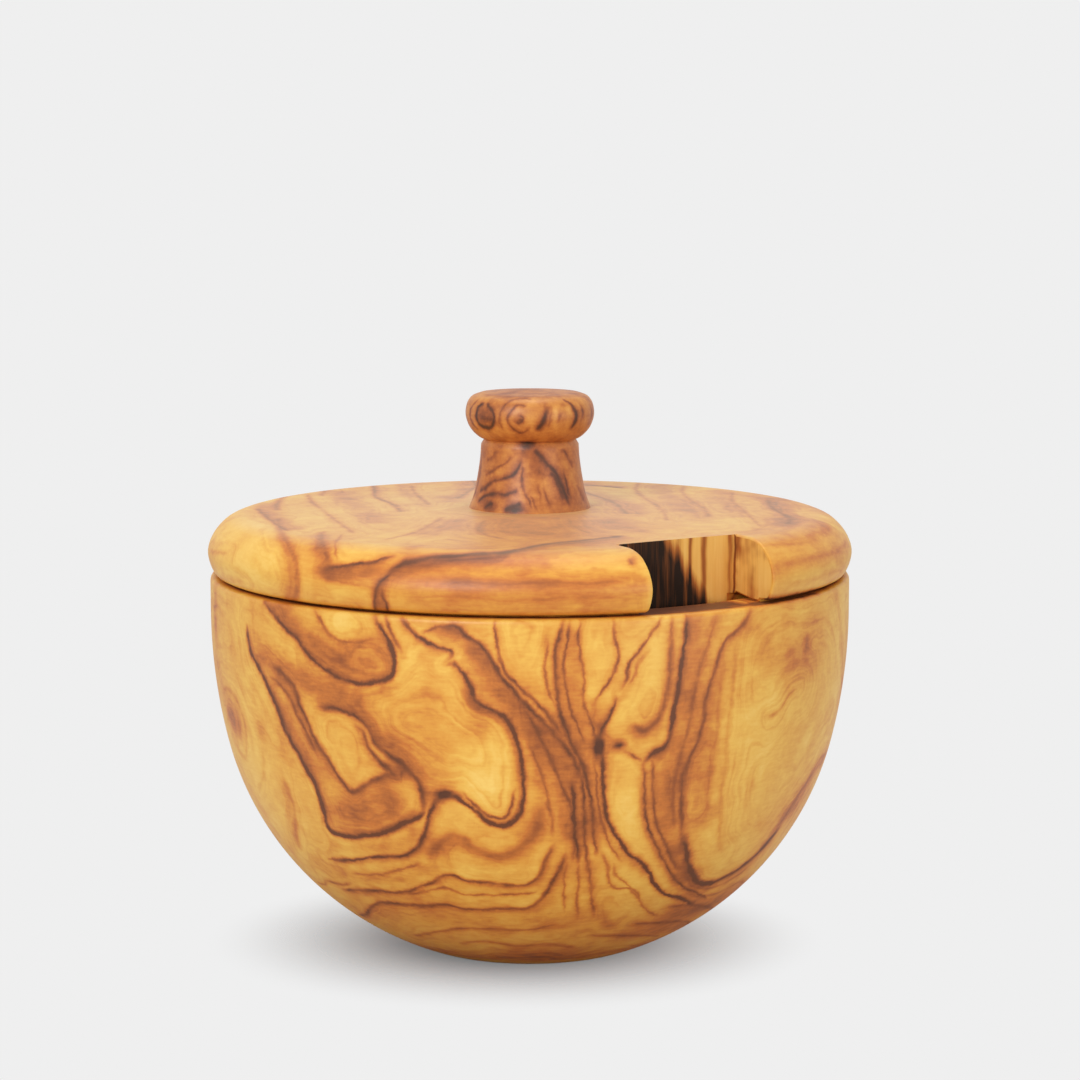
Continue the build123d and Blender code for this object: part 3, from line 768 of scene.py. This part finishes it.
class Value:
    """A socket in a node tree, so that shader maths reads as plain expressions."""

    def __init__(self, nodes, socket):
        self.nodes, self.socket = nodes, socket

    def __add__(self, other):
        return self.nodes.maths("ADD", self, other)

    def __sub__(self, other):
        return self.nodes.maths("SUBTRACT", self, other)

    def __rsub__(self, other):
        return self.nodes.maths("SUBTRACT", other, self)

    def __mul__(self, other):
        return self.nodes.maths("MULTIPLY", self, other)

    def __truediv__(self, other):
        return self.nodes.maths("DIVIDE", self, other)

    __radd__, __rmul__ = __add__, __mul__


class Nodes:
    """The node tree of a material, or of the room's light, that is being written."""

    def __init__(self, owner):
        owner.use_nodes = True
        self.owner, self.tree = owner, owner.node_tree
        self.tree.nodes.clear()

    def node(self, kind, settings=None, sockets=None, output=0):
        """A node of any kind: its settings come first, then its sockets' values or links.

        It gives the output that is asked for, or a list of all of them for "every"."""
        made = self.tree.nodes.new("ShaderNode" + kind)
        for name, value in (settings or {}).items():
            if name == "stops":
                ramp = made.color_ramp.elements
                for k, (place, colour) in enumerate(value):
                    stop = ramp[k] if k < 2 else ramp.new(place)
                    stop.position, stop.color = place, colour
            else:
                setattr(made, name, value)
        for name, value in (sockets or {}).items():
            if isinstance(value, Value):
                self.tree.links.new(value.socket, made.inputs[name])
            else:
                made.inputs[name].default_value = value
        if output == "every":
            return [Value(self, socket) for socket in made.outputs]
        return Value(self, made.outputs[output]) if len(made.outputs) else None

    def maths(self, operation, *values):
        return self.node("Math", {"operation": operation}, dict(enumerate(values)))

    def vector(self, operation, *values, output=0):
        return self.node("VectorMath", {"operation": operation}, dict(enumerate(values)), output)

    def clamp(self, value):
        return self.node("Clamp", None, {"Value": value})

    def bell(self, value, width):
        """1 where the value is 0, falling off over about the width."""
        part = value / width
        return self.maths("EXPONENT", part * part * -1)

    def place(self, stretch=(1, 1, 1)):
        """The point on the piece in millimetres, stretched along each axis."""
        point = self.node("TexCoord", None, None, "Object")
        return self.vector("MULTIPLY", point, [s / MM for s in stretch])

    def height(self, place):
        return self.node("SeparateXYZ", None, {"Vector": place}, "Z")

    def noise(self, place, size, low=-0.5, high=0.5, detail=2.0, rough=0.5):
        """Soft noise from low to high, with features of about the given size."""
        sockets = {"Vector": place, "Scale": 1 / size, "Detail": detail, "Roughness": rough}
        return self.node("TexNoise", None, sockets) * (high - low) + low

    def attribute(self, name):
        """The three numbers of a vector attribute of the mesh."""
        vector = self.node("Attribute", {"attribute_name": name}, None, "Vector")
        return self.node("SeparateXYZ", None, {"Vector": vector}, "every")

    def relief(self, height):
        sockets = {"Strength": RELIEF_STRENGTH, "Distance": RELIEF_DEPTH, "Height": height}
        return self.node("Bump", None, sockets)

    def surface(self, **sockets):
        """Ends a material in a Principled shader with the named sockets."""
        named = {name.replace("_", " "): value for name, value in sockets.items()}
        shader = self.node("BsdfPrincipled", None, named)
        self.node("OutputMaterial", None, {"Surface": shader})
        return self.owner


def olive_wood(name, veins, ramp, base, boldness, mottle_size, mottle, sheen_from=None):
    """Oiled olive wood: the traced veins, brown shades beside them, growth lines and pores, and where
    asked a painted sheen that pales the top.
    """
    wood = Nodes(bpy.data.materials.new(name))
    here = wood.place()
    waver = wood.noise(here, 2.0, -WAVER, WAVER, detail=4, rough=0.62)
    strength = wood.noise(here, 3.2, low=0.25, high=1.75, detail=3)
    swell = wood.noise(here, 4.6, low=0.35, high=1.85)
    line = 0
    for k in range(veins):
        distance, darkness, width = wood.attribute(f"vein_{k}")
        bent = distance + waver
        core = wood.bell(bent, width * swell * CORE) * CORE_BROWN
        halo = wood.bell(bent, width * HALO) * HALO_BROWN
        line = wood.maths("MAXIMUM", line, darkness * (core + halo))
    line = wood.clamp(line * strength * boldness)
    tone, ringed, near = wood.attribute("figure")

    # Growth lines follow the veins, because they run at even distances from them.
    pace = near + wood.noise(here, 8, low=0, high=4.5, detail=3, rough=0.55)
    across = wood.node("CombineXYZ", None, {"X": pace, "Y": ringed * GROWTH_SHIFT})
    path = wood.vector("ADD", across, wood.vector("MULTIPLY", here, GROWTH_BEND))
    growth = wood.noise(path, 1.1, detail=2.5, rough=0.6)
    patchy = wood.clamp(wood.noise(here, 9, low=-1.0, high=1.6))
    ripple = wood.maths("FRACT", pace / RIPPLE_GAP) - 0.5
    ripple = wood.bell(ripple, RIPPLE_WIDTH) * patchy * RIPPLE_BROWN

    # Plain rings where no vein is traced
    phase = wood.maths("FRACT", wood.noise(here, 34, 0, RINGS, detail=1.5, rough=0.4))
    ring_line = wood.bell(phase - 0.5, RING_WIDTH) * RING_BROWN * ringed

    cloud = wood.noise(here, 15, -CLOUD_BROWN, CLOUD_BROWN)
    fleck = wood.noise(wood.place((1, 1, 5)), 2.6, -FLECK_BROWN, FLECK_BROWN, detail=3)
    spots = wood.noise(here, mottle_size, -mottle, mottle, detail=4, rough=0.64)
    browner = tone + growth * GROWTH_BROWN + cloud + fleck + spots + base
    browner = wood.clamp(browner + phase * RING_SHADE * ringed)
    dark = wood.maths("MAXIMUM", wood.maths("MAXIMUM", line, ring_line), ripple)
    stain = wood.clamp(browner * (1 - dark) + dark * VEIN_BROWN)
    colour = wood.node("ValToRGB", {"stops": ramp}, {"Fac": stain})
    # A painted sheen: the top is mixed towards a pale colour, more of it higher up.
    if sheen_from:
        sheen = wood.clamp((wood.height(here) - sheen_from) / SHEEN_DEPTH) * SHEEN_AMOUNT
        colour = wood.node("Mix", {"data_type": "RGBA"}, {0: sheen, 6: colour, 7: LID_SHEEN_COLOUR}, 2)
    pore = wood.noise(wood.place((1, 1, 3)), 0.55, low=0, high=1)
    rough = pore * ROUGH_PORE + ROUGH + dark * ROUGH_VEIN
    bump = wood.relief(growth * RELIEF + pore * RELIEF - dark * RELIEF_VEIN)
    return wood.surface(Base_Color=colour, Roughness=rough, Normal=bump)


def sawn_wood(name):
    """The notch's sawn walls: the figure runs straight down them in dark and pale bands, and a
    painted shadow darkens their left part.
    """
    wood = Nodes(bpy.data.materials.new(name))
    here = wood.place()
    level = (cos(NOTCH_AZIMUTH), sin(NOTCH_AZIMUTH), 0)
    across = wood.vector("DOT_PRODUCT", here, level, output="Value")
    waver = wood.noise(here, 6, low=-0.45, high=0.45)
    line = 0
    for place, darkness, width in NOTCH_BANDS:
        line = wood.maths("MAXIMUM", line, wood.bell(across - place + waver, width) * darkness)
    streak = wood.noise(wood.place((1, 1, 0.06)), 1.3, detail=3, rough=0.6)
    # A painted shadow: the walls darken to the left of an edge that leans across the back wall.
    edge = across + (wood.height(here) - NOTCH_SHADOW_Z) * NOTCH_SHADOW_SLOPE + waver * NOTCH_SHADOW_WAVER
    notch_shadow = wood.clamp(0.5 - edge / NOTCH_SHADOW_SOFT) * (streak * NOTCH_SHADOW_STREAK + NOTCH_SHADOW_BROWN)
    stain = wood.clamp(streak * SAWN_STREAK + line + SAWN_BROWN + notch_shadow)
    colour = wood.node("ValToRGB", {"stops": SAWN_WOOD}, {"Fac": stain})
    return wood.surface(Base_Color=colour, Roughness=SAWN_ROUGH, Specular_IOR_Level=SAWN_GLOSS,
                        Normal=wood.relief(streak))


class Figure:
    """The wood's figure on a turned piece, worked out for each vertex of its mesh."""

    def __init__(self, piece, outline):
        self.mesh = piece.data
        self.count = len(self.mesh.vertices)
        flat = np.empty(self.count * 3)
        self.mesh.vertices.foreach_get("co", flat)
        x, y, self.z = flat.reshape(-1, 3).T / MM
        self.r, self.a = np.hypot(x, y), np.arctan2(x, -y)
        self.s = outline.run_at(self.r, self.z)
        self.tone, self.knots = np.zeros(self.count), np.zeros(self.count)
        self.nearness = np.full(self.count, np.exp(-FAR / BLEND))
        self.layers = []

    def measure(self, path):
        """The vertices near a path, their signed distance from it and from its nearer end."""
        pa, ps = path.T
        middle = (pa.min() + pa.max()) / 2
        turn = (self.a - middle + pi) % (2 * pi) - pi
        pa = pa - middle
        inside = (self.s > ps.min() - FAR) & (self.s < ps.max() + FAR)
        inside &= np.abs(turn) * self.r < pa.max() * self.r + FAR
        who = np.flatnonzero(inside)
        vr, va, vs = self.r[who], turn[who], self.s[who]
        best = np.full(len(who), np.inf)
        signed, run = np.full(len(who), FAR), np.zeros(len(who))
        total = 0.0
        for k in range(len(pa) - 1):
            dx, dy = (pa[k + 1] - pa[k]) * vr, ps[k + 1] - ps[k]
            px, py = (va - pa[k]) * vr, vs - ps[k]
            f = np.clip((px * dx + py * dy) / (dx * dx + dy * dy + 1e-12), 0, 1)
            ex, ey = px - f * dx, py - f * dy
            gap = ex * ex + ey * ey
            closer = gap < best
            best[closer] = gap[closer]
            signed[closer] = (np.sqrt(gap) * np.where(dx * ey - dy * ex < 0, -1, 1))[closer]
            length = hypot((pa[k + 1] - pa[k]) * TRACE_RADIUS, dy)
            run[closer] = (total + f * length)[closer]
            total += length
        return who, signed, np.minimum(run, total - run)

    def vein(self, darkness, width, shade, path):
        """A vein goes into the first layer that is still empty wherever it runs."""
        who, signed, end = self.measure(path)
        gap = np.abs(signed)
        self.nearness[who] += np.exp(-gap / BLEND)
        if shade:
            side = np.clip(0.5 + signed * np.sign(shade), 0, 1) * np.clip(end / SHADE_TAPER, 0, 1)
            self.tone[who] += SHADE_BROWN * darkness * side * np.exp(-gap / abs(shade))
        reach = max(LINE_REACH, width)
        pick = gap < reach + LINE_MARGIN
        band = who[pick]
        for values, taken in self.layers:
            if not taken[band].any():
                break
        else:
            values, taken = np.tile([FAR, 0.0, 1.0], (self.count, 1)), np.zeros(self.count, bool)
            self.layers.append((values, taken))
        fade = np.clip((reach - gap) / LINE_SOFT, 0, 1) * np.clip(end / LINE_TAPER, 0, 1)
        values[band] = np.stack([signed, darkness * fade, np.full(len(who), width)], 1)[pick]
        taken[band] = True

    def band(self, amount, width, path):
        who, signed, end = self.measure(path)
        soft = np.clip(end / (BAND_TAPER * width), 0, 1)
        self.tone[who] += amount * soft * np.exp(-((signed / width) ** 2))

    def patch(self, place, reach_a, reach_s, amount):
        across = ((self.a - place[0] + pi) % (2 * pi) - pi) * self.r
        along = self.s - place[1]
        layer = self.knots if amount >= KNOT else self.tone
        layer += amount * np.exp(-((across / reach_a) ** 2) - (along / reach_s) ** 2)

    def trace(self, veins, bands, patches, path, side=1, unit=1):
        """Draws traced veins, bands and patches. path(points) gives angles and distances
        along the outline, side is -1 where it mirrors them, and unit scales the patches."""
        for darkness, width, shade, points in veins:
            self.vein(darkness, width, side * shade, path(points))
        for amount, width, points in bands:
            self.band(amount, width, path(points))
        for u, v, reach_u, reach_v, amount in patches:
            place = path([(u, v), (u + NEARLY, v)])[0]
            self.patch(place, reach_u * unit, reach_v, amount)

    def write(self, ringed):
        """Stores it as attributes of the mesh, and gives the number of layers of veins."""
        brown = np.where(self.tone > 0, BROWNEST * np.tanh(self.tone / BROWNEST), self.tone)
        near = -BLEND * np.log(self.nearness)
        vectors = {f"vein_{k}": values for k, (values, taken) in enumerate(self.layers)}
        vectors["figure"] = np.stack([brown + self.knots, ringed, near], axis=1)
        for name, values in vectors.items():
            layer = self.mesh.attributes.new(name, "FLOAT_VECTOR", "POINT")
            layer.data.foreach_set("vector", values.ravel())
        return len(self.layers)


def dress(piece, node, body, slot, *materials):
    """The piece stands for a solid, moves with its body and takes the given materials; slot is not
    used.
    """
    for material in materials:
        piece.data.materials.append(material)
    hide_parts(node)
    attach(piece, body)
    LIT.objects.link(piece)


def build_bowl():
    outline = bowl_outline()
    piece = turned("turned_bowl", outline, BOWL_COLUMNS)
    top = int(np.argmax(outline.z >= RIM_Z - NEARLY))
    outside = slice(np.count_nonzero(outline.z <= 0) - 1, top + 1)

    def path(points, back=False):
        """The back has the front's figure, stretched and bent."""
        u, z = smooth(points, TRACE_STEP).T
        if back:
            across = BACK - BOWL_STRETCH * u + SWAY_ROUND[0] * np.sin(z / SWAY_ROUND[1])
            z = np.clip(z + SWAY_UP[0] * np.sin(u / SWAY_UP[1]), LOWEST, HIGHEST)
            u = across
        run = np.interp(z, outline.z[outside], outline.s[outside]) + np.maximum(z - RIM_Z, 0)
        return np.stack([u / TRACE_RADIUS, run], axis=1)

    figure = Figure(piece, outline)
    # The rim's painted shade is drawn along with the front's veins.
    figure.trace(BOWL_VEINS + RIM_PAINTED_SHADE, BOWL_BANDS, BOWL_PATCHES, path)
    figure.trace(BOWL_VEINS, BOWL_BANDS, BOWL_PATCHES, partial(path, back=True), -1)
    veins = figure.write(np.clip((figure.s - outline.s[top]) / BOWL_RINGS_IN, 0, 1))
    wood = olive_wood("olive_wood_bowl", veins, PALE_WOOD, base=0.36, boldness=1.1,
                      mottle_size=4.5, mottle=0.21)
    dress(piece, "bowl", "bowl", "olive_wood_bowl", wood)


def build_lid():
    outline = lid_outline()
    piece = turned("turned_lid", outline, LID_COLUMNS, notch_opening)
    seam = outline.run_at(np.array([SEAT_OUTER]), np.array([RIM_Z]))[0] + GROOVE_RUN

    def edge_path(points, back=False):
        u, s = smooth(points, TRACE_STEP).T
        u = BACK - LID_STRETCH * u if back else u
        return np.stack([u / TRACE_RADIUS, seam + s], axis=1)

    def top_path(points):
        x, y = smooth(points, TRACE_STEP).T
        level = np.full(len(x), TOP_LEVEL)
        turn = np.unwrap(np.arctan2(x, -y))
        return np.stack([turn, outline.run_at(np.hypot(x, y), level)], axis=1)

    figure = Figure(piece, outline)
    edge = (LID_EDGE_VEINS, LID_EDGE_BANDS, LID_EDGE_PATCHES)
    figure.trace(*edge, edge_path)
    figure.trace(*edge, partial(edge_path, back=True), -1)
    # Painted shade in the seam, on the lid's edge right of the notch.
    figure.trace(LID_PAINTED_SHADE, (), (), edge_path)
    figure.trace(LID_TOP_VEINS, LID_TOP_BANDS, LID_TOP_PATCHES, top_path)
    veins = figure.write(np.clip((seam - figure.s) / LID_RINGS_IN, 0, 1))
    # The lid's top is paled by a painted sheen.
    wood = olive_wood("olive_wood_lid", veins, PALE_WOOD, base=0.36, boldness=0.9,
                      mottle_size=4.5, mottle=0.18, sheen_from=LID_TOP - 2.0)
    dress(piece, "lid", "lid", "olive_wood_lid", wood, sawn_wood("olive_wood_sawn"))


def build_knob():
    outline = knob_outline()
    piece = turned("turned_knob", outline, KNOB_COLUMNS)
    start = int(np.argmax(outline.r >= STEM[0][0] - NEARLY))

    def path(points, back=False):
        line = smooth([(degrees * KNOB_DEGREE, z) for degrees, z in points], KNOB_TRACE_STEP)
        turn = np.radians(line[:, 0] / KNOB_DEGREE)
        run = np.interp(line[:, 1], outline.z[start:], outline.s[start:])
        return np.stack([pi - turn if back else turn, run], axis=1)

    figure = Figure(piece, outline)
    figure.trace(KNOB_VEINS, (), KNOB_PATCHES, path, 1, KNOB_DEGREE)
    figure.trace(KNOB_VEINS, (), KNOB_PATCHES, partial(path, back=True), -1, KNOB_DEGREE)
    crown = np.clip((figure.z - KNOB_TOP + KNOB_CROWN) / KNOB_RINGS_IN, 0, 1)
    veins = figure.write(crown * KNOB_RINGS)
    wood = olive_wood("olive_wood_knob", veins, DARK_WOOD, base=0.42, boldness=0.95,
                      mottle_size=3.2, mottle=0.475)
    dress(piece, "knob", "lid", "olive_wood_knob", wood)


def build_floor():
    """A pale floor with its rendered shadow and a painted shadow near the middle, which fades into
    the background further out.
    """
    bpy.ops.mesh.primitive_circle_add(vertices=FLOOR_SIDES, radius=FLOOR_RADIUS, fill_type="NGON")
    floor = bpy.context.object
    floor.name = "floor"
    paper = Nodes(bpy.data.materials.new("pale_floor"))
    point = paper.node("TexCoord", None, None, "Object")
    flat = paper.vector("DIVIDE", paper.vector("SUBTRACT", point, SHADOW_MIDDLE), SHADOW_SHAPE)
    reach = paper.vector("LENGTH", flat, output="Value")
    fade = paper.clamp((reach - FLOOR_SOLID) / (FLOOR_END - FLOOR_SOLID))
    soft = fade * fade * (3 - fade * 2)
    seen = paper.node("LightPath", None, None, "Is Camera Ray")
    lit = paper.node("BsdfDiffuse", None, {"Color": FLOOR_COLOUR})
    # A dim grey glow for the camera: a painted shadow near the middle.
    even = paper.node("Emission", None, {"Color": PAINTED_SHADOW_GREY})
    body = paper.node("MixShader", None, {0: seen * PAINTED_SHADOW_SHARE, 1: lit, 2: even})
    clear = paper.node("BsdfTransparent")
    mixed = paper.node("MixShader", None, {0: soft * seen, 1: body, 2: clear})
    paper.node("OutputMaterial", None, {"Surface": mixed})
    floor.data.materials.append(paper.owner)


def light_room():
    """An even pale room, which the camera and reflections see as the background."""
    room = Nodes(bpy.data.worlds.new("studio"))
    seen = 0
    for ray in ("Camera", "Glossy", "Transmission"):
        seen = room.maths("MAXIMUM", seen, room.node("LightPath", None, None, f"Is {ray} Ray"))
    level = seen * (1 - ROOM_LIGHT) + ROOM_LIGHT
    background = room.node("Background", None, {"Color": BACKDROP, "Strength": level})
    room.node("OutputWorld", None, {"Surface": background})
    bpy.context.scene.world = room.owner


def hang_lamp(name, place, target, width, power, object_only):
    light = bpy.data.lights.new(name, "AREA")
    light.shape = "DISK"
    light.size, light.energy = width, power
    lamp = bpy.data.objects.new(name, light)
    bpy.context.scene.collection.objects.link(lamp)
    lamp.location = place
    lamp.rotation_euler = (Vector(target) - Vector(place)).to_track_quat("-Z", "Y").to_euler()
    if object_only:
        lamp.light_linking.receiver_collection = LIT


def set_camera():
    camera = bpy.data.objects.new("camera", bpy.data.cameras.new("camera"))
    bpy.context.scene.collection.objects.link(camera)
    camera.data.sensor_width, camera.data.lens = SENSOR, LENS
    camera.location = CAMERA_PLACE
    camera.rotation_euler = (CAMERA_TILT, 0, 0)
    bpy.context.scene.camera = camera


build_bowl()
build_lid()
build_knob()
build_floor()
light_room()
for lamp in LAMPS:
    hang_lamp(*lamp)
set_camera()
bpy.context.scene.view_settings.view_transform = "Standard"
